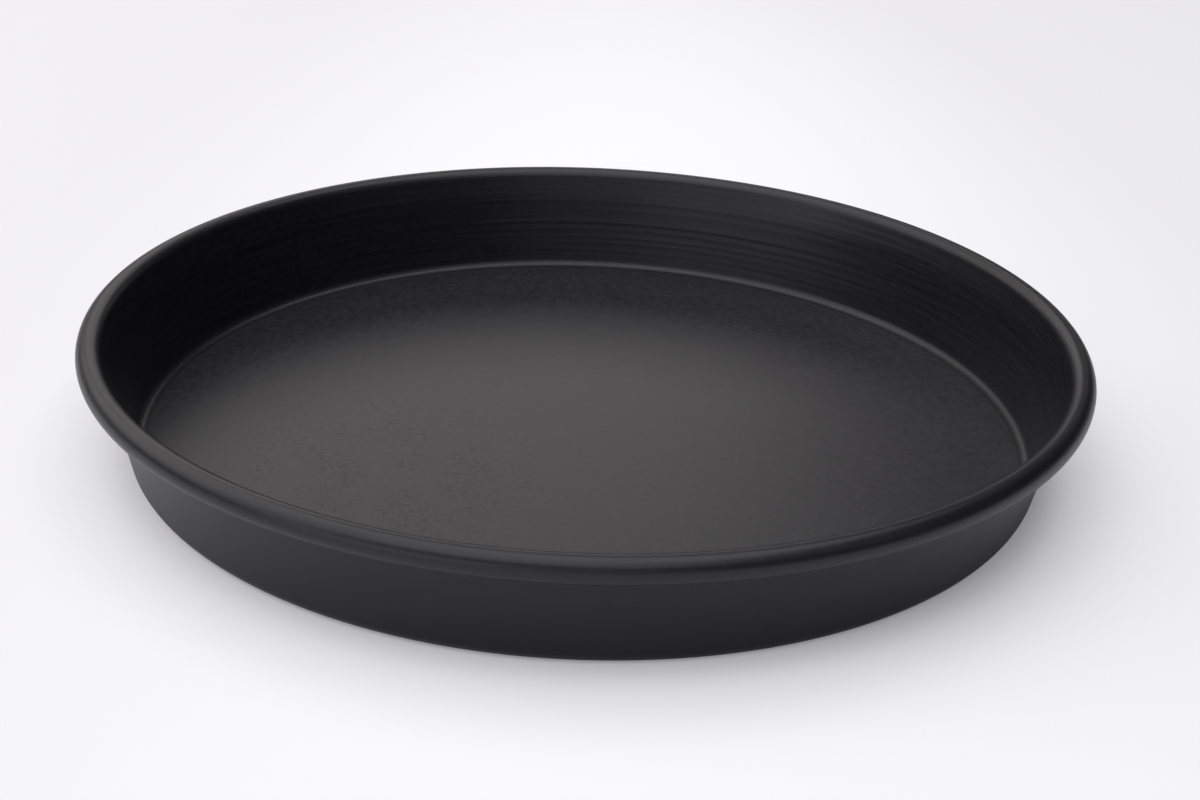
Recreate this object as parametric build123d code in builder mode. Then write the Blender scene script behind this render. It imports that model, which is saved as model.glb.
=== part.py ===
from build123d import *
import os
from math import acos, atan2, ceil, cos, degrees, hypot, radians, sin, tan

# Round deep-dish pizza pan, spun from one disc of aluminium sheet.
# Z is the pan's axis. The origin is the centre of the base, on the table.
# Each profile is drawn in the XZ plane as radius and height, and revolved once.

# Driving sizes of the whole pan
mouth_diameter = 304.8          # clear opening inside the rolled rim
pan_height = 38.7               # table to the crown of the rolled rim
sheet_thickness = 1.63

# Base corner, where the floor turns up into the wall
wall_overhang = 10.3            # the mouth stands this far out past the flat floor, each side
corner_inside_radius = 3.0

# Neck, where the wall leans out a little more to meet the rolled rim
neck_drop = 9.7                 # below the crown
neck_inset = 2.1                # inside the mouth, each side
neck_bend_radius = 40.0

# Rolled rim, the edge of the sheet curled outwards and down
bead_diameter = 7.9
lip_clearance = 0.3             # between the tucked lip and the wall
lip_edge_radius = 0.35

# Marks that the spinning roller leaves round the inside of the wall
roller_pitch = 2.8
roller_mark_depth = 0.06

# Worked out from the sizes above
mouth_radius = mouth_diameter / 2
floor_radius = mouth_radius - wall_overhang
corner_outside_radius = corner_inside_radius + sheet_thickness
bead_radius = bead_diameter / 2
bead_bore_radius = bead_radius - sheet_thickness

corner_centre = Vector(floor_radius, corner_outside_radius)
neck = Vector(mouth_radius - neck_inset, pan_height - neck_drop)
bead_centre = Vector(mouth_radius + bead_radius, pan_height - bead_radius)


def lean_past(from_point, to_point, distance):
    """Lean, in degrees from upright, of a line that keeps a distance from one of its two points."""
    across = to_point.X - from_point.X
    up = to_point.Y - from_point.Y
    return degrees(acos(distance / hypot(across, up)) - atan2(up, across))


def outward(lean):
    """Unit normal on the outside of a sheet that leans out by so many degrees."""
    return Vector(cos(radians(lean)), -sin(radians(lean)))


def upward(lean):
    """Unit direction up a sheet that leans out by so many degrees."""
    return Vector(sin(radians(lean)), cos(radians(lean)))


# The wall touches the corner's inner arc and runs up to the neck.
# From there the sheet leans out further, and touches the bead.
wall_lean = lean_past(corner_centre, neck, corner_inside_radius)
neck_lean = lean_past(neck, bead_centre, bead_radius)

wall_foot = corner_centre + outward(wall_lean) * corner_inside_radius
bend_reach = neck_bend_radius * tan(radians(neck_lean - wall_lean) / 2)
bend_start = neck - upward(wall_lean) * bend_reach
bend_end = neck + upward(neck_lean) * bend_reach
bend_middle = (
    bend_start
    + outward(wall_lean) * neck_bend_radius
    - outward((wall_lean + neck_lean) / 2) * neck_bend_radius
)
curl_start = bead_centre - outward(neck_lean) * bead_radius


def roller_passes(start, end, lean):
    """Shallow hollows, one roller pass wide each, up the inner face from start to end."""
    run = end - start
    passes = max(1, ceil(run.length / roller_pitch))
    for index in range(passes):
        low = start + run * (index / passes)
        high = start + run * ((index + 1) / passes)
        hollow = (low + high) / 2 + outward(lean) * roller_mark_depth
        ThreePointArc(low, hollow, high)


# Flat round floor
with BuildPart() as pan_floor:
    with BuildSketch():
        Circle(floor_radius)
    extrude(amount=sheet_thickness)
pan_floor.part.label = "pan_floor"

# Bend from the floor's edge up to the foot of the wall
with BuildPart() as base_corner:
    with BuildSketch(Plane.XZ):
        with BuildLine():
            inner_bend = CenterArc(corner_centre, corner_inside_radius, -90, 90 - wall_lean)
            outer_bend = CenterArc(corner_centre, corner_outside_radius, -90, 90 - wall_lean)
            Line(inner_bend @ 0, outer_bend @ 0)
            Line(inner_bend @ 1, outer_bend @ 1)
        make_face()
    revolve(axis=Axis.Z)
base_corner.part.label = "base_corner"

# Tapered wall with its neck, plain outside and marked by the roller inside
with BuildPart() as side_wall:
    with BuildSketch(Plane.XZ):
        with BuildLine():
            roller_passes(wall_foot, bend_start, wall_lean)
            ThreePointArc(bend_start, bend_middle, bend_end)
            roller_passes(bend_end, curl_start, neck_lean)
            Line(curl_start, curl_start + outward(neck_lean) * sheet_thickness)
            Line(
                curl_start + outward(neck_lean) * sheet_thickness,
                bend_end + outward(neck_lean) * sheet_thickness,
            )
            ThreePointArc(
                bend_end + outward(neck_lean) * sheet_thickness,
                bend_middle + outward((wall_lean + neck_lean) / 2) * sheet_thickness,
                bend_start + outward(wall_lean) * sheet_thickness,
            )
            Line(
                bend_start + outward(wall_lean) * sheet_thickness,
                wall_foot + outward(wall_lean) * sheet_thickness,
            )
            Line(wall_foot + outward(wall_lean) * sheet_thickness, wall_foot)
        make_face()
    revolve(axis=Axis.Z)
side_wall.part.label = "side_wall"

# Rolled rim, a hollow bead whose lip tucks back beside the wall
tuck_angle = degrees(acos((bead_bore_radius - lip_clearance) / bead_radius))
curl_angle = 360 - tuck_angle
with BuildPart() as rolled_rim:
    with BuildSketch(Plane.XZ) as curl_section:
        with BuildLine():
            bead_outside = CenterArc(bead_centre, bead_radius, 180 - neck_lean, -curl_angle)
            bead_inside = CenterArc(bead_centre, bead_bore_radius, 180 - neck_lean, -curl_angle)
            Line(bead_outside @ 0, bead_inside @ 0)
            Line(bead_outside @ 1, bead_inside @ 1)
        make_face()
        lip_corners = curl_section.vertices().sort_by(Axis.Y)[:2]
        fillet(lip_corners, lip_edge_radius)
    revolve(axis=Axis.Z)
rolled_rim.part.label = "rolled_rim"

os.makedirs("parts", exist_ok=True)
export_step(pan_floor.part, "parts/pan_floor.step")
export_step(base_corner.part, "parts/base_corner.step")
export_step(side_wall.part, "parts/side_wall.step")
export_step(rolled_rim.part, "parts/rolled_rim.step")

outside_diameter = 2 * (mouth_radius + bead_diameter)
print(f"wall leans out {wall_lean:.2f} degrees, neck {neck_lean:.2f} degrees")
print(f"outside diameter {outside_diameter:.1f}, flat floor {2 * floor_radius:.1f}")
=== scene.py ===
import bmesh
import bpy
from math import acos, atan2, cos, hypot, pi, radians, sin
from mathutils import Matrix, Vector


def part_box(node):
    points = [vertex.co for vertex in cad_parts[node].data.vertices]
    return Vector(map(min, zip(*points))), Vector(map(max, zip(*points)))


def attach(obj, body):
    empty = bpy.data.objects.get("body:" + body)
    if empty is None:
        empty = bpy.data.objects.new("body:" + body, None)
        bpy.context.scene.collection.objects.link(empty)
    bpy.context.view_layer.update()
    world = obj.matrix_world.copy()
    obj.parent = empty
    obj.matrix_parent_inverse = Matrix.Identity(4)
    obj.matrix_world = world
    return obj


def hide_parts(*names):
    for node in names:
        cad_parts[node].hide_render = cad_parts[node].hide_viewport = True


# Round deep-dish pizza pan: its four finished pieces, the table under it and the studio light
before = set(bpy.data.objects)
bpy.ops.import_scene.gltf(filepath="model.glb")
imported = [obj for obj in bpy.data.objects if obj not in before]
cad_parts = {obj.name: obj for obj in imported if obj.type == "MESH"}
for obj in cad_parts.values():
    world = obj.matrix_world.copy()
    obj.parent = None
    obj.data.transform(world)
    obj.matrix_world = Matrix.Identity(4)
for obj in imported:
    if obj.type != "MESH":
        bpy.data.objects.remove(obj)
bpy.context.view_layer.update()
scene = bpy.context.scene
scene.view_settings.view_transform = "Standard"


# Node sums. A Wire holds one socket of a shader tree or a geometry tree.
class Wire:
    def __init__(self, tree, socket=None):
        self.tree = tree
        self.socket = socket

    def add(self, kind, settings=None, inputs=None, outlet=0):
        node = self.tree.nodes.new(kind)
        for name, value in (settings or {}).items():
            setattr(node, name, value)
        for name, value in (inputs or {}).items():
            if isinstance(value, Wire):
                self.tree.links.new(value.socket, node.inputs[name])
            else:
                node.inputs[name].default_value = value
        found = node.outputs[outlet] if node.outputs else None
        return Wire(self.tree, found)

    def outlet(self, name):
        return Wire(self.tree, self.socket.node.outputs[name])

    def math(self, operation, *values):
        return self.add("ShaderNodeMath", {"operation": operation}, dict(enumerate(values)))

    def __add__(self, other):
        return self.math("ADD", self, other)

    def __radd__(self, other):
        return self.math("ADD", other, self)

    def __sub__(self, other):
        return self.math("SUBTRACT", self, other)

    def __rsub__(self, other):
        return self.math("SUBTRACT", other, self)

    def __mul__(self, other):
        return self.math("MULTIPLY", self, other)

    def __rmul__(self, other):
        return self.math("MULTIPLY", other, self)

    def __truediv__(self, other):
        return self.math("DIVIDE", self, other)

    def __rtruediv__(self, other):
        return self.math("DIVIDE", other, self)

    def vector(self, operation, *values):
        outlet = "Value" if operation in ("LENGTH", "DISTANCE", "DOT_PRODUCT") else "Vector"
        parts = dict(enumerate(values))
        return self.add("ShaderNodeVectorMath", {"operation": operation}, parts, outlet)

    def point(self, x, y, z):
        return self.add("ShaderNodeCombineXYZ", None, {"X": x, "Y": y, "Z": z})

    def blend(self, share, first, second):
        # a Mix node's colours go in at its sockets 6 and 7 and come out at 2
        colours = {0: share, 6: first, 7: second}
        return self.add("ShaderNodeMix", {"data_type": "RGBA"}, colours, 2)

    def smooth(self, low, high):
        inputs = {"Value": self, "From Min": low, "From Max": high}
        return self.add("ShaderNodeMapRange", {"interpolation_type": "SMOOTHSTEP"}, inputs)

    def noise(self, place, size, detail, dimensions="3D"):
        inputs = {"Scale": 1.0 / size, "Detail": detail}
        inputs["W" if dimensions == "1D" else "Vector"] = place
        return self.add("ShaderNodeTexNoise", {"noise_dimensions": dimensions}, inputs)


def opaque(colour):
    return (*colour, 1.0)


def blankMaterial(name):
    material = bpy.data.materials.new(name)
    material.use_nodes = True
    material.node_tree.nodes.clear()
    return material, Wire(material.node_tree)


# Camera at the photographed angle
cameraView = {
    "place": (0.0, -0.54374, 0.25888),
    "turn": 0.4884,                     # degrees to the right of straight ahead
    "dip": 24.7211,                     # degrees below the horizon
    "roll": 2.4815,
    "lens": 54.458,
}


def addCamera():
    turn = radians(cameraView["turn"])
    dip = radians(cameraView["dip"])
    roll = radians(cameraView["roll"])
    ahead = Vector((sin(turn) * cos(dip), cos(turn) * cos(dip), -sin(dip)))
    level = Vector((cos(turn), -sin(turn), 0.0))
    over = level.cross(ahead)
    across = level * cos(roll) + over * sin(roll)
    up = over * cos(roll) - level * sin(roll)
    data = bpy.data.cameras.new("photoCamera")
    data.lens = cameraView["lens"]
    camera = bpy.data.objects.new("photoCamera", data)
    scene.collection.objects.link(camera)
    axes = Matrix((across, up, -ahead)).transposed().to_4x4()
    camera.matrix_world = Matrix.Translation(cameraView["place"]) @ axes
    scene.camera = camera


addCamera()
print("camera set")


# Sizes of the pan, in metres. The frame gives the floor, the sheet and the rim.
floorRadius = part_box("pan_floor")[1].x
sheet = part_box("pan_floor")[1].z
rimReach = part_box("rolled_rim")[1].x
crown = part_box("rolled_rim")[1].z
panShape = {
    "cornerInside": 0.0030,             # radius inside the base corner
    "neckDrop": 0.0097,                 # from the crown down to where the wall flares
    "neckInset": 0.0021,                # from the mouth in to the same place
    "neckBend": 0.040,
    "beadRadius": 0.00395,
    "lipClearance": 0.0003,
    "lipRounding": 0.00035,
    "lap": 0.0008,                      # each bend reaches this far onto the straight next to it
    "steps": 360,                       # divisions round the pan
    "sharpAngle": 35,                   # degrees: an edge that turns more than this stays sharp
    "mergeDistance": 1e-6,
}
beadRadius = panShape["beadRadius"]
boreRadius = beadRadius - sheet
cornerInside = panShape["cornerInside"]
cornerOutside = cornerInside + sheet
mouthRadius = rimReach - 2 * beadRadius
cornerCentre = Vector((floorRadius, cornerOutside))
neck = Vector((mouthRadius - panShape["neckInset"], crown - panShape["neckDrop"]))
beadCentre = Vector((mouthRadius + beadRadius, crown - beadRadius))


def leanPast(start, end, distance):     # lean from upright of a line kept off one of two points
    across, up = end - start
    return acos(distance / hypot(across, up)) - atan2(up, across)


def outward(lean):
    return Vector((cos(lean), -sin(lean)))


def upward(lean):
    return Vector((sin(lean), cos(lean)))


wallLean = leanPast(cornerCentre, neck, cornerInside)
neckLean = leanPast(neck, beadCentre, beadRadius)
wallFoot = cornerCentre + outward(wallLean) * cornerInside
bendReach = panShape["neckBend"] * (neckLean - wallLean) / 2
bendStart = neck - upward(wallLean) * bendReach
bendEnd = neck + upward(neckLean) * bendReach
curlStart = beadCentre - outward(neckLean) * beadRadius

# Where the pieces meet, and the way through the sheet from its inside to its outside
lap = panShape["lap"]
flatEdge = floorRadius - lap
throughWall = outward(wallLean) * sheet
throughNeck = outward(neckLean) * sheet
wallStart = wallFoot + upward(wallLean) * lap
wallStartOut = wallFoot + throughWall + upward(wallLean) * lap
wallEnd = curlStart - upward(neckLean) * lap


def along(start, end, count):           # points from start to just before end
    return [start.lerp(end, i / count) for i in range(count)]


def bend(centre, radius, fromAngle, toAngle, count):
    angles = [fromAngle + (toAngle - fromAngle) * i / count for i in range(count)]
    return [centre + Vector((cos(a), sin(a))) * radius for a in angles]


# Roller marks, left round the inside of the wall as the pan was spun
backTurn = 0.25                         # the back of the pan, in turns from its right
markedFace = {
    # heights at the back of the pan, where one pass of the roller ends and the next begins
    "ridges": (0.0030, 0.0055, 0.0078, 0.0108, 0.0130, 0.0160, 0.0196, 0.0238,
               0.0272, 0.0298, 0.0326, 0.0351, 0.0376),
    "outsideShare": -0.25,              # the marks show this much, turned round, on the outside
    "fade": 0.0010,                     # they fade out over this height at the wall's two ends
}
rollerMarks = {                         # each of these is an input of the spin tree
    "depth": 0.00003,
    "unevenness": 0.7,                  # how much the passes differ in depth
    "unevenStep": 1.7,                  # how fast the depth changes from pass to pass
    "wander": 0.25,                     # in passes
    "wanderRound": 1.5,                 # how fast a pass wanders round the pan
    "wanderUp": 90.0,                   # and up the wall, for each metre
    "strongDepth": 0.00006,             # the one heavy ridge, about half way up
    "strongPass": 5.75,                 # counted in passes from the lowest
    "strongWidth": 0.30,                # in passes, each way
    "strongSpread": 0.28,               # in turns, each way from the back
    "seed": 7.0,
}


def passNumber(height):                 # how many passes lie below, a quarter turn before the back
    ridges = markedFace["ridges"]
    for number in range(len(ridges) - 1):
        low, high = ridges[number], ridges[number + 1]
        if height < high:
            break
    return number + (height - low) / (high - low) - backTurn


def markWeight(height):
    low = (height - wallFoot.y - lap) / markedFace["fade"]
    high = (curlStart.y - lap - height) / markedFace["fade"]
    return max(0.0, min(1.0, low, high))


def stored(nodes, name):
    return nodes.add("GeometryNodeInputNamedAttribute", {"data_type": "FLOAT"}, {"Name": name})


def rollerCut(nodes, given, turn, east, north, height):
    # one hollow for each pass of the roller, and the passes join into one rising spiral
    girth = given.outlet("wanderRound")
    level = height * given.outlet("wanderUp") + given.outlet("seed")
    drift = nodes.noise(nodes.point(east * girth, north * girth, level), size=1.0, detail=1.0) - 0.5
    passes = stored(nodes, "passNumber") + turn + drift * given.outlet("wander")
    passBelow = nodes.math("FLOOR", passes)
    inPass = passes - passBelow
    hollow = 4.0 * inPass * (1.0 - inPass)              # 0 at a ridge and 1 half way to the next
    spiral = (passBelow - turn) * given.outlet("unevenStep") + given.outlet("seed")
    depth = nodes.noise(spiral, size=1.0, detail=1.0, dimensions="1D") - 0.5
    depth = 1.0 + depth * 2.0 * given.outlet("unevenness")
    away = nodes.math("ABSOLUTE", passes - given.outlet("strongPass"))
    nearby = nodes.math("ABSOLUTE", turn - backTurn)
    crest = 1.0 - away.smooth(0.0, given.outlet("strongWidth"))
    crest = crest * (1.0 - nearby.smooth(0.0, given.outlet("strongSpread")))
    return hollow * depth * given.outlet("depth") - crest * given.outlet("strongDepth")


# The tree spins a section, a line of points of radius and height, round the pan's axis.
def buildSpinTree():
    tree = bpy.data.node_groups.new("spinSection", "GeometryNodeTree")
    sockets = tree.interface
    sockets.new_socket("section", in_out="INPUT", socket_type="NodeSocketGeometry")
    sockets.new_socket("steps", in_out="INPUT", socket_type="NodeSocketInt")
    for name, value in rollerMarks.items():
        size = sockets.new_socket(name, in_out="INPUT", socket_type="NodeSocketFloat")
        size.default_value = value
    sockets.new_socket("finish", in_out="INPUT", socket_type="NodeSocketMaterial")
    sockets.new_socket("spun", in_out="OUTPUT", socket_type="NodeSocketGeometry")

    nodes = Wire(tree)
    given = nodes.add("NodeGroupInput")
    profile = nodes.add("GeometryNodeMeshToCurve", None, {"Mesh": given.outlet("section")})
    circle = {"Resolution": given.outlet("steps"), "Radius": 1.0}
    circle = nodes.add("GeometryNodeCurvePrimitiveCircle", {"mode": "RADIUS"}, circle)
    step = nodes.add("GeometryNodeInputIndex")
    ring = {"Geometry": circle, "Name": "turn", "Value": step / given.outlet("steps")}
    ring = nodes.add("GeometryNodeStoreNamedAttribute", {"data_type": "FLOAT"}, ring)
    swept = nodes.add("GeometryNodeCurveToMesh", None, {"Curve": ring, "Profile Curve": profile})

    turn = stored(nodes, "turn")
    height = stored(nodes, "sectionHeight")
    angle = turn * (2 * pi)
    east = nodes.math("COSINE", angle)
    north = nodes.math("SINE", angle)
    cut = rollerCut(nodes, given, turn, east, north, height)
    reach = stored(nodes, "sectionRadius") + cut * stored(nodes, "markWeight")
    place = nodes.point(reach * east, reach * north, height)

    spun = nodes.add("GeometryNodeSetPosition", None, {"Geometry": swept, "Position": place})
    spun = {"Geometry": spun, "Distance": panShape["mergeDistance"]}
    spun = nodes.add("GeometryNodeMergeByDistance", None, spun)
    spun = nodes.add("GeometryNodeSetShadeSmooth", None, {"Geometry": spun})
    spun = nodes.add("GeometryNodeRealizeInstances", None, {"Geometry": spun})
    spun = {"Geometry": spun, "Material": given.outlet("finish")}
    spun = nodes.add("GeometryNodeSetMaterial", None, spun)
    nodes.add("NodeGroupOutput", None, {"spun": spun})
    return tree


spinTree = buildSpinTree()
spinInputs = {
    item.name: item.identifier
    for item in spinTree.interface.items_tree
    if item.in_out == "INPUT"
}


# A section is a list of (point, pass number, mark weight) in order along the sheet's cut outline.
def plain(points):
    return [(point, 0.0, 0.0) for point in points]


def marked(points, share):
    return [(point, passNumber(point.y), share * markWeight(point.y)) for point in points]


def drawSection(name, section, closed):
    points, passNumbers, weights = zip(*section)
    last = len(points) - 1
    edges = [(i, i + 1) for i in range(last)]
    if closed:
        edges.append((last, 0))
    mesh = bpy.data.meshes.new(name)
    mesh.from_pydata([(p.x, 0.0, p.y) for p in points], edges, [])
    columns = {
        "sectionRadius": [p.x for p in points],
        "sectionHeight": [p.y for p in points],
        "passNumber": passNumbers,
        "markWeight": weights,
    }
    for column, values in columns.items():
        mesh.attributes.new(column, "FLOAT", "POINT").data.foreach_set("value", values)
    drawn = bpy.data.objects.new(name, mesh)
    scene.collection.objects.link(drawn)
    return drawn


def spinPiece(name, section, finish, replaced, closed=True):
    drawn = drawSection(name + "Section", section, closed)
    modifier = drawn.modifiers.new("spin", "NODES")
    modifier.node_group = spinTree
    modifier[spinInputs["steps"]] = panShape["steps"]
    modifier[spinInputs["finish"]] = finish
    seen = drawn.evaluated_get(bpy.context.evaluated_depsgraph_get())
    spun = bpy.data.meshes.new_from_object(seen)
    drawn.modifiers.remove(modifier)
    bpy.data.objects.remove(drawn)
    for column in ("sectionRadius", "sectionHeight", "passNumber", "markWeight", "turn"):
        if column in spun.attributes:
            spun.attributes.remove(spun.attributes[column])
    work = bmesh.new()
    work.from_mesh(spun)
    bmesh.ops.recalc_face_normals(work, faces=work.faces)
    work.to_mesh(spun)
    work.free()
    spun.set_sharp_from_angle(angle=radians(panShape["sharpAngle"]))
    spun.name = name
    piece = bpy.data.objects.new(name, spun)
    scene.collection.objects.link(piece)
    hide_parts(replaced)
    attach(piece, "root")
    print(name, len(spun.polygons), "faces")


# Finish: hard anodised aluminium, dyed nearly black, with a fine satin grain
anodising = {
    "reflection": 1.42,                 # refractive index of the sealed surface
    "relief": 0.00001,                  # depth of a grain, line or pit of 1
    "grainSize": 0.00050,
    "grainGloss": 0.08,                 # each gloss value says how much that varies the roughness
    "mottleSize": 0.0024,
    "mottleGloss": 0.06,
    "streakLength": 0.048,              # of the fine lines round the pan
    "streakRadius": 0.15,               # and how far out they have that length
    "axisGuard": 1e-8,                  # keeps the sums from dividing by nought on the pan's axis
    "pressedWay": (0.8, 0.6),           # to the right back
    "pressedFrom": (-0.13, 0.10),       # from the left front, that way, in metres
    "pressedLeast": 0.35,
    "outsideFrom": (-0.03, 0.03),       # how far the surface faces away from the pan's centre
    "outsideCalm": 0.45,                # how much fainter the lines are outside
    "pitSize": 0.0018,
    "pitFrom": (0.53, 0.645),           # how high the noise stands where a pit begins and is full
    "pitPatchSize": 0.040,
    "pitPatchFrom": (0.35, 0.70),
    "pitClusterSize": 0.014,
    "pitClusterFrom": (0.38, 0.56),
    "pitColour": (0.0040, 0.0038, 0.0048),
    "pitGloss": 0.04,
    "wornCore": 0.4,                    # share of a worn place's reach where it is worn throughout
}


def roundLines(nodes, spot, look):
    # fine lines round the pan: noise stretched along the turn, and narrow up the sheet
    parts = nodes.add("ShaderNodeSeparateXYZ", None, {"Vector": spot})
    east, north, height = parts.outlet("X"), parts.outlet("Y"), parts.outlet("Z")
    reach = nodes.math("SQRT", east * east + north * north + anodising["axisGuard"])
    stretch = anodising["streakRadius"] / anodising["streakLength"]
    rows = (reach + height) / look["streakWidth"]
    line = nodes.point(east / reach * stretch, north / reach * stretch, rows)
    streak = nodes.noise(line, size=1.0, detail=4.0)

    # the roller pressed hardest at the back and right, and left little on the outside
    right, back = anodising["pressedWay"]
    pressed = (east * right + north * back).smooth(*anodising["pressedFrom"])
    pressed = anodising["pressedLeast"] + (1.0 - anodising["pressedLeast"]) * pressed
    normal = nodes.add("ShaderNodeNewGeometry").outlet("Normal")
    outer = nodes.vector("DOT_PRODUCT", normal, spot).smooth(*anodising["outsideFrom"])
    return (streak - 0.5) * pressed * (1.0 - outer * anodising["outsideCalm"])


def darkPits(nodes, spot, look):
    # tiny pits in the oxide, thicker in some patches than in others and in one worn place
    pits = nodes.noise(spot, anodising["pitSize"], detail=3.0).smooth(*anodising["pitFrom"])
    patch = nodes.noise(spot, anodising["pitPatchSize"], detail=1.0).smooth(*anodising["pitPatchFrom"])
    cluster = nodes.noise(spot, anodising["pitClusterSize"], detail=2.0)
    cluster = cluster.smooth(*anodising["pitClusterFrom"])
    away = nodes.vector("DISTANCE", spot, look["wornPlace"])
    worn = 1.0 - away.smooth(look["wornReach"] * anodising["wornCore"], look["wornReach"])
    return pits * (patch * look["pits"] + worn * cluster * look["wornPits"])


def anodisedFinish(name, look):
    material, nodes = blankMaterial(name)
    spot = nodes.add("ShaderNodeTexCoord").outlet("Object")
    streak = roundLines(nodes, spot, look)
    pits = darkPits(nodes, spot, look)
    grain = nodes.noise(spot, anodising["grainSize"], detail=3.0) - 0.5
    mottle = nodes.noise(spot, anodising["mottleSize"], detail=2.0) - 0.5

    tone = grain * look["grainTone"] + mottle * look["mottleTone"] + streak * look["streakTone"]
    tone = (tone + 0.5).smooth(0.0, 1.0)
    colour = nodes.blend(tone, opaque(look["colour"]), opaque(look["paleColour"]))
    colour = nodes.blend(pits, colour, opaque(anodising["pitColour"]))
    rough = look["roughness"] + mottle * anodising["mottleGloss"] + grain * anodising["grainGloss"]
    rough = rough + streak * look["streakGloss"] + pits * anodising["pitGloss"]
    relief = grain * look["grain"] + streak * look["streak"] - pits * look["pitDepth"]
    bump = {"Strength": 1.0, "Distance": anodising["relief"], "Height": relief}
    shader = {
        "Base Color": colour,
        "Roughness": rough,
        "IOR": anodising["reflection"],
        "Normal": nodes.add("ShaderNodeBump", None, bump),
    }
    shader = nodes.add("ShaderNodeBsdfPrincipled", None, shader)
    nodes.add("ShaderNodeOutputMaterial", None, {"Surface": shader})
    return material


# Pan floor
panFloor = {
    "topRows": 30,                      # divisions of the section, here and in the other pieces
    "lowRows": 12,
    "colour": (0.0085, 0.0081, 0.0104),
    "paleColour": (0.0194, 0.0187, 0.0219),     # where the grain catches
    "roughness": 0.38,
    "grain": 1.3,
    "grainTone": 2.3,
    "mottleTone": 1.6,
    "streak": 0.1,
    "streakWidth": 0.0009,
    "streakTone": 0.3,
    "streakGloss": 0.02,
    "pits": 0.25,
    "pitDepth": 1.0,
    "wornPlace": (-0.066, -0.044, 0.0016),      # the pits stand thickest here
    "wornReach": 0.070,
    "wornPits": 1.0,
}
topCentre, topEdge = Vector((0.0, sheet)), Vector((flatEdge, sheet))
lowCentre, lowEdge = Vector((0.0, 0.0)), Vector((flatEdge, 0.0))
floorSection = along(topCentre, topEdge, panFloor["topRows"]) + [topEdge]
floorSection += along(lowEdge, lowCentre, panFloor["lowRows"]) + [lowCentre]
floorFinish = anodisedFinish("anodisedFloor", panFloor)
spinPiece("panFloor", plain(floorSection), floorFinish, "pan_floor", closed=False)

# Base corner
baseCorner = {
    "bendRows": 20,
    "colour": (0.0055, 0.0053, 0.0070),
    "paleColour": (0.0095, 0.0091, 0.0115),
    "roughness": 0.38,
    "grain": 0.6,
    "grainTone": 1.6,
    "mottleTone": 1.0,
    "streak": 0.5,
    "streakWidth": 0.0006,
    "streakTone": 1.2,
    "streakGloss": 0.04,
    "pits": 0.25,
    "pitDepth": 0.2,
    "wornPlace": (-0.11, -0.09, 0.003),
    "wornReach": 0.050,
    "wornPits": 0.2,
}
cornerRows = baseCorner["bendRows"]
cornerSection = [topEdge]
cornerSection += bend(cornerCentre, cornerInside, -pi / 2, -wallLean, cornerRows)
cornerSection += [wallFoot, wallStart, wallStartOut]
cornerSection += bend(cornerCentre, cornerOutside, -wallLean, -pi / 2, cornerRows)
cornerSection += [Vector((floorRadius, 0.0)), lowEdge]
cornerFinish = anodisedFinish("anodisedCorner", baseCorner)
spinPiece("baseCorner", plain(cornerSection), cornerFinish, "base_corner")

# Side wall
sideWall = {
    "rowGap": 0.00026,                  # between rows up the marked face
    "neckRows": 17,
    "outsideRows": 24,
    "outsideNeckRows": 6,
    # darker than the floor's colours: painted shade for the inner wall
    "colour": (0.0027, 0.0025, 0.0050),
    "paleColour": (0.0099, 0.0096, 0.0132),
    "roughness": 0.37,
    "grain": 0.6,
    "grainTone": 0.9,
    "mottleTone": 0.6,
    "streak": 2.5,
    "streakWidth": 0.00050,
    "streakTone": 2.7,
    "streakGloss": 0.16,
    "pits": 0.3,
    "pitDepth": 0.2,
    "wornPlace": (0.12, -0.10, 0.02),
    "wornReach": 0.060,
    "wornPits": 0.3,
}
neckBend = panShape["neckBend"]
neckCentre = bendStart + outward(wallLean) * neckBend
wallRows = int((bendStart - wallFoot).length / sideWall["rowGap"])
flareRows = int((curlStart - bendEnd).length / sideWall["rowGap"])
inside = along(wallStart, bendStart, wallRows)
inside += bend(neckCentre, neckBend, pi - wallLean, pi - neckLean, sideWall["neckRows"])
inside += along(bendEnd, wallEnd, flareRows) + [wallEnd]
outside = along(wallEnd + throughNeck, bendEnd + throughNeck, sideWall["outsideNeckRows"])
outside += bend(neckCentre, neckBend - sheet, pi - neckLean, pi - wallLean, sideWall["outsideNeckRows"])
outside += along(bendStart + throughWall, wallStartOut, sideWall["outsideRows"]) + [wallStartOut]
wallSection = marked(inside, 1.0) + marked(outside, markedFace["outsideShare"])
wallFinish = anodisedFinish("anodisedWall", sideWall)
spinPiece("sideWall", wallSection, wallFinish, "side_wall")

# Rolled rim
rolledRim = {
    "curlRows": 84,
    "boreRows": 48,
    "lipRows": 6,
    "colour": (0.0046, 0.0043, 0.0064),
    "paleColour": (0.0085, 0.0080, 0.0108),
    "roughness": 0.37,
    "grain": 0.6,
    "grainTone": 1.6,
    "mottleTone": 1.0,
    "streak": 0.3,
    "streakWidth": 0.0007,
    "streakTone": 0.6,
    "streakGloss": 0.04,
    "pits": 0.3,
    "pitDepth": 0.2,
    "wornPlace": (-0.13, -0.08, 0.035),
    "wornReach": 0.060,
    "wornPits": 0.2,
}
tuck = acos((boreRadius - panShape["lipClearance"]) / beadRadius)
curlFrom = pi - neckLean
curlTo = curlFrom - (2 * pi - tuck)
rounding = panShape["lipRounding"]
outerRadius, innerRadius = beadRadius - rounding, boreRadius + rounding
outerStop, innerStop = curlTo + rounding / outerRadius, curlTo + rounding / innerRadius


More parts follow.
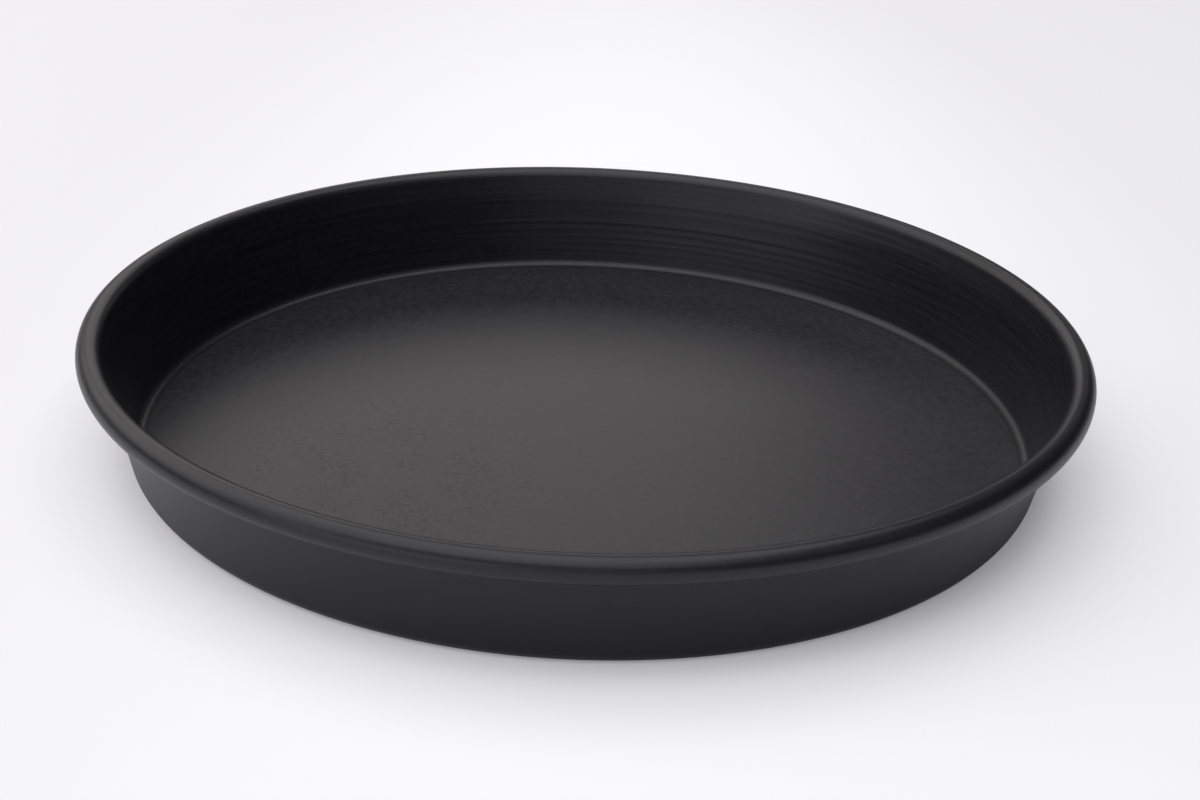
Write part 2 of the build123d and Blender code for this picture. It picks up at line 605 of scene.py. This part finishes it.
def lipPoints():                        # the sheet's rounded edge, from the bead's outside to its bore
    points = []
    ahead = Vector((sin(curlTo), -cos(curlTo)))
    corners = ((outerRadius, outerStop), (innerRadius, innerStop))
    for quarter, (radius, stop) in enumerate(corners):
        direction = Vector((cos(stop), sin(stop)))
        centre = beadCentre + direction * radius
        for i in range(rolledRim["lipRows"] + 1):
            a = (quarter + i / rolledRim["lipRows"]) * pi / 2
            points.append(centre + direction * cos(a) * rounding + ahead * sin(a) * rounding)
    return points


rimSection = [wallEnd]
rimSection += bend(beadCentre, beadRadius, curlFrom, outerStop, rolledRim["curlRows"])
rimSection += lipPoints()
rimSection += bend(beadCentre, boreRadius, innerStop, curlFrom, rolledRim["boreRows"])[1:]
rimSection += [curlStart + throughNeck, wallEnd + throughNeck]
rimFinish = anodisedFinish("anodisedRim", rolledRim)
spinPiece("rolledRim", plain(rimSection), rimFinish, "rolled_rim")
print("pan spun")


# Stage: a pale matt table that runs out past every view
tableLook = {
    "radius": 6.0,
    "segments": 96,
    "colour": (0.88, 0.875, 0.91),
    # painted falloff of light: the table's colour away from its middle
    "paintedFalloffColour": (0.76, 0.755, 0.785),
    "roughness": 0.9,
    "shine": 0.1,
    "liftColour": (0.98, 0.975, 1.0),
    "farLiftColour": (0.87, 0.86, 0.89),
    "lift": 0.45,                       # how far the camera sees its shadows lightened
    "paintedContactReach": (0.142, 0.160),     # and less so close to the pan's base, a painted contact shadow
    "paintedContactShadow": 0.5,
    "paintedSideReach": (0.150, 0.190),        # and on its right, a painted shadow
    "paintedSideFrom": (0.02, 0.14),
    "paintedSideShadow": 0.28,
    "farReach": (0.80, 1.8),            # past the photo's edge the table fades to an even tone
    "paintedPoolCentre": (0.02, 0.07, 0.0),    # a painted pool of light: the middle of the table is the palest
    "paintedPoolShape": (1.9, 0.55, 0.0),
    "paintedPoolReach": (0.08, 0.50),
    "fibre": 0.0012,
    "fibreTone": 0.012,
}


def paleTable():
    material, nodes = blankMaterial("paleTable")
    spot = nodes.add("ShaderNodeTexCoord").outlet("Object")
    # painted pool of light: the table is palest round its middle and dims outwards
    offset = nodes.vector("SUBTRACT", spot, tableLook["paintedPoolCentre"])
    away = nodes.vector("LENGTH", nodes.vector("MULTIPLY", offset, tableLook["paintedPoolShape"]))
    fibre = nodes.noise(spot, tableLook["fibre"], detail=3.0) - 0.5
    paintedLightPool = away.smooth(*tableLook["paintedPoolReach"]) + fibre * tableLook["fibreTone"]
    colour = nodes.blend(paintedLightPool, opaque(tableLook["colour"]), opaque(tableLook["paintedFalloffColour"]))
    lifted = nodes.blend(paintedLightPool, opaque(tableLook["liftColour"]), opaque(tableLook["farLiftColour"]))
    lit = {
        "Base Color": colour,
        "Roughness": tableLook["roughness"],
        "Specular IOR Level": tableLook["shine"],
    }
    lit = nodes.add("ShaderNodeBsdfPrincipled", None, lit)
    glow = nodes.add("ShaderNodeEmission", None, {"Color": lifted, "Strength": 1.0})

    # the camera alone sees the glow, which doesn't light the pan
    reach = nodes.vector("LENGTH", spot)
    east = nodes.add("ShaderNodeSeparateXYZ", None, {"Vector": spot}).outlet("X")
    # painted shadow: less lift close to the pan's base and on its right, so the table looks darker
    # there
    paintedContactMask = 1.0 - reach.smooth(*tableLook["paintedContactReach"])
    paintedSideMask = east.smooth(*tableLook["paintedSideFrom"]) * (1.0 - reach.smooth(*tableLook["paintedSideReach"]))
    lift = tableLook["lift"] * (1.0 - paintedContactMask * tableLook["paintedContactShadow"])
    lift = lift * (1.0 - paintedSideMask * tableLook["paintedSideShadow"])
    far = reach.smooth(*tableLook["farReach"])
    lift = lift * (1.0 - far) + far
    seen = nodes.add("ShaderNodeLightPath").outlet("Is Camera Ray")
    surface = nodes.add("ShaderNodeMixShader", None, {"Fac": seen * lift, 1: lit, 2: glow})
    nodes.add("ShaderNodeOutputMaterial", None, {"Surface": surface})
    return material


def addTable():
    mesh = bpy.data.meshes.new("table")
    work = bmesh.new()
    size = {"segments": tableLook["segments"], "radius": tableLook["radius"]}
    bmesh.ops.create_circle(work, cap_ends=True, **size)
    work.to_mesh(mesh)
    work.free()
    mesh.materials.append(paleTable())
    table = bpy.data.objects.new("table", mesh)
    scene.collection.objects.link(table)


addTable()

# Lamps: soft boxes on a dome round the pan, all aimed at its base. Bearings run clockwise from
# the far side and rises go up from the table, in degrees. A box's glow is how bright it looks
# from the pan, whatever its size.
lamps = {
    "overhead": {"bearing": 0, "rise": 83, "size": (3.1, 3.1), "glow": 2.2, "tint": "plain"},
    "leftHigh": {"bearing": 257, "rise": 39, "size": (2.2, 2.5), "glow": 1.5, "tint": "cool"},
    "frontHigh": {"bearing": 190, "rise": 54, "size": (3.0, 1.45), "glow": 1.8, "tint": "plain"},
    "right": {"bearing": 122, "rise": 38, "size": (2.0, 1.6), "glow": 0.3, "tint": "plain"},
    "backLeft": {"bearing": 304, "rise": 37, "size": (2.3, 2.2), "glow": 1.45, "tint": "warm"},
    "back": {"bearing": 350.8, "rise": 26.8, "size": (1.9, 1.1), "glow": 1.32, "tint": "warm"},
    "backRight": {"bearing": 23, "rise": 14, "size": (0.7, 0.35), "glow": 0.85, "tint": "plain"},
    "backLow": {"bearing": 342, "rise": 13, "size": (2.4, 0.8), "glow": 0.2, "tint": "warm"},
    "frontLeftLow": {"bearing": 220, "rise": 10, "size": (2.6, 1.0), "glow": 1.65, "tint": "cool"},
    "frontLow": {"bearing": 180, "rise": 16, "size": (2.2, 1.2), "glow": 0.6, "tint": "warm"},
}
lampDistance = 3.0
lampTints = {"plain": (1.0, 1.0, 1.01), "cool": (1.0, 0.99, 1.06), "warm": (1.05, 1.0, 0.98)}
roomGlow = 0.02                         # the faint even light from everywhere else


def addLamps():
    for name, lamp in lamps.items():
        bearing, rise = radians(lamp["bearing"]), radians(lamp["rise"])
        data = bpy.data.lights.new(name, "AREA")
        data.shape = "RECTANGLE"
        data.size, data.size_y = lamp["size"]
        data.energy = lamp["glow"] * pi * data.size * data.size_y
        data.color = lampTints[lamp["tint"]]
        way = Vector((sin(bearing) * cos(rise), cos(bearing) * cos(rise), sin(rise)))
        box = bpy.data.objects.new(name, data)
        box.location = way * lampDistance
        box.rotation_euler = (-way).to_track_quat("-Z", "Y").to_euler()
        box.visible_camera = False
        scene.collection.objects.link(box)


def paleWorld():
    world = bpy.data.worlds.new("studio")
    world.use_nodes = True
    world.node_tree.nodes.clear()
    nodes = Wire(world.node_tree)
    light = {"Color": (1.0, 1.0, 1.0, 1.0), "Strength": roomGlow}
    light = nodes.add("ShaderNodeBackground", None, light)
    backdrop = {"Color": opaque(tableLook["farLiftColour"]), "Strength": 1.0}
    backdrop = nodes.add("ShaderNodeBackground", None, backdrop)
    seen = nodes.add("ShaderNodeLightPath").outlet("Is Camera Ray")
    surface = nodes.add("ShaderNodeMixShader", None, {"Fac": seen, 1: light, 2: backdrop})
    nodes.add("ShaderNodeOutputWorld", None, {"Surface": surface})
    scene.world = world


addLamps()
paleWorld()
print("stage and lamps set")
